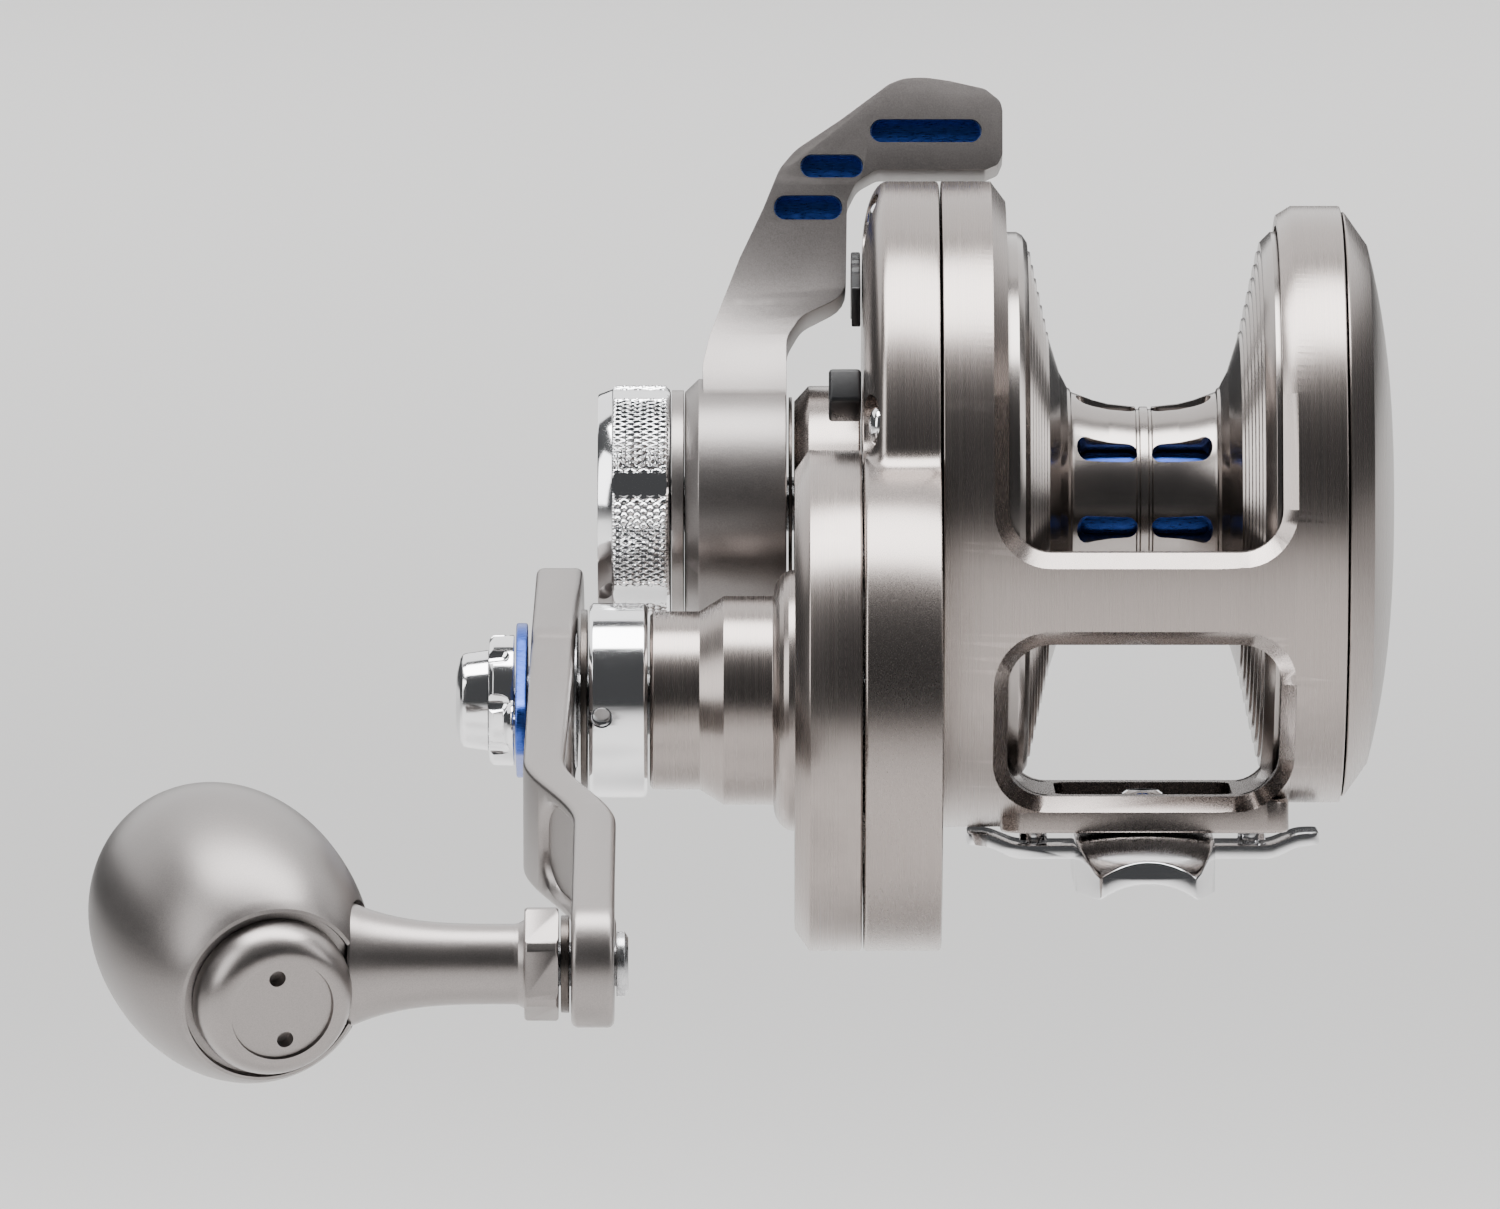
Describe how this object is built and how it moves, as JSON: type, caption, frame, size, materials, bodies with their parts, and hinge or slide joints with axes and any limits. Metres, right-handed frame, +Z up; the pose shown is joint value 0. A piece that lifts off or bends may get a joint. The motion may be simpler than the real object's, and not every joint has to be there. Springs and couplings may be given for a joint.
{
  "type": "trolling reel",
  "caption": "Lever-drag conventional fishing reel with an open-top metal frame, slotted spool, two-speed crank with egg-shaped power grip, drag lever, preset knob and rod-clamp foot.",
  "frame": {"origin": "middle of the rod seat under the foot, below the middle of the spool", "axes": "+Z up from the rod to the spool, X along the spool shaft with the crank at -X, -Y forward along the rod, the way the line leaves"},
  "size_m": [0.1819, 0.2005, 0.1302],
  "materials": {
    "grey_anodised": "warm titanium-grey anodised, fine turned marks",
    "blasted_grey": "bead-blasted, grey anodised, softly satin",
    "chrome": "polished bright plate",
    "blue_anodised": "deep blue anodised",
    "black_plastic": "black moulded acetal",
    "bronze": "dark bronze, satin",
    "steel": "ground stainless steel",
    "carbon": "woven carbon friction washer"
  },
  "bodies": {
    "root": {"frame": "grey_anodised", "gear_side_plate": "grey_anodised", "gear_case_lid": "grey_anodised", "palm_side_plate": "grey_anodised", "reel_foot": "chrome", "foot_screw": "chrome", "clamp_stud_left": "chrome", "clamp_stud_right": "chrome", "clamp_nut_left": "chrome", "clamp_nut_right": "chrome", "cover_screw_1": "chrome", "cover_screw_2": "chrome", "cover_screw_3": "chrome", "cover_screw_4": "chrome", "strike_stop": "black_plastic", "lever_quadrant": "black_plastic", "nose_bearing": "steel", "palm_bearing": "steel", "drive_bearing": "steel", "dog_pin": "steel"},
    "drag_lever": {"drag_lever": "blasted_grey", "lever_cam": "steel", "lever_washer": "bronze", "preset_washer": "bronze"},
    "spool_shaft": {"spool_shaft": "steel"},
    "preset_knob": {"preset_knob": "chrome"},
    "spool": {"spool": "grey_anodised", "arbor_sleeve": "blue_anodised", "spool_bearing_left": "steel", "spool_bearing_right": "steel", "carbon_drag_washer": "carbon"},
    "drive_plate": {"drag_drive_plate": "steel", "high_pinion": "steel", "low_pinion": "steel"},
    "crank": {"crank_shaft": "steel", "handle_arm": "blasted_grey", "crank_collar": "chrome", "crank_spacer": "bronze", "crank_washer": "steel", "lock_plate": "blue_anodised", "lock_screw": "chrome", "handle_nut": "chrome", "high_main_gear": "bronze", "ratchet_wheel": "steel", "grip_spindle": "steel", "spindle_washer": "bronze"},
    "low_gear": {"low_main_gear": "bronze"},
    "shift_button": {"shift_button": "chrome", "shift_rod": "steel"},
    "grip": {"grip_stem": "blasted_grey", "grip_bearing": "steel", "grip_body": "blasted_grey", "grip_cap_front": "blasted_grey", "grip_cap_rear": "blasted_grey"},
    "anti_reverse_dog": {"anti_reverse_dog": "steel"}
  },
  "joints": [
    {"name": "lever_swing", "type": "hinge", "parent": "root", "child": "drag_lever", "pos_m": [-0.058, 0, 0.051], "axis": [1, 0, 0], "range_deg": [-40, 56]},
    {"name": "shaft_slide", "type": "slide", "parent": "root", "child": "spool_shaft", "axis": [-1, 0, 0], "range_m": [-0.00049, 0.00068]},
    {"name": "preset_turn", "type": "hinge", "parent": "spool_shaft", "child": "preset_knob", "pos_m": [-0.072, 0, 0.051], "axis": [1, 0, 0], "range_deg": [-180, 180]},
    {"name": "spool_spin", "type": "hinge", "parent": "spool_shaft", "child": "spool", "pos_m": [0, 0, 0.051], "axis": [1, 0, 0], "continuous": true},
    {"name": "drive_spin", "type": "hinge", "parent": "root", "child": "drive_plate", "pos_m": [-0.035, 0, 0.051], "axis": [1, 0, 0], "continuous": true},
    {"name": "crank_spin", "type": "hinge", "parent": "root", "child": "crank", "pos_m": [-0.06, -0.0352, 0.02555], "axis": [1, 0, 0], "continuous": true},
    {"name": "low_gear_spin", "type": "hinge", "parent": "root", "child": "low_gear", "pos_m": [-0.0367, -0.0352, 0.02555], "axis": [1, 0, 0], "continuous": true},
    {"name": "shift_press", "type": "slide", "parent": "crank", "child": "shift_button", "axis": [1, 0, 0], "range_m": [0, 0.0028]},
    {"name": "grip_spin", "type": "hinge", "parent": "crank", "child": "grip", "pos_m": [-0.1, -0.13742, -0.00251], "axis": [1, 0, 0], "continuous": true},
    {"name": "dog_swing", "type": "hinge", "parent": "root", "child": "anti_reverse_dog", "pos_m": [-0.0331, -0.0252, 0.00825], "axis": [1, 0, 0], "range_deg": [0, 17], "stiffness_Nm_per_rad": 0.002, "springref_deg": -5.73}
  ],
  "couplings": [
    {"joint": "lever_swing", "follows": "shaft_slide", "rad_per_m": 1428.6},
    {"joint": "drive_spin", "follows": "crank_spin", "ratio": -2.875},
    {"joint": "low_gear_spin", "follows": "crank_spin", "ratio": 1.369}
  ]
}
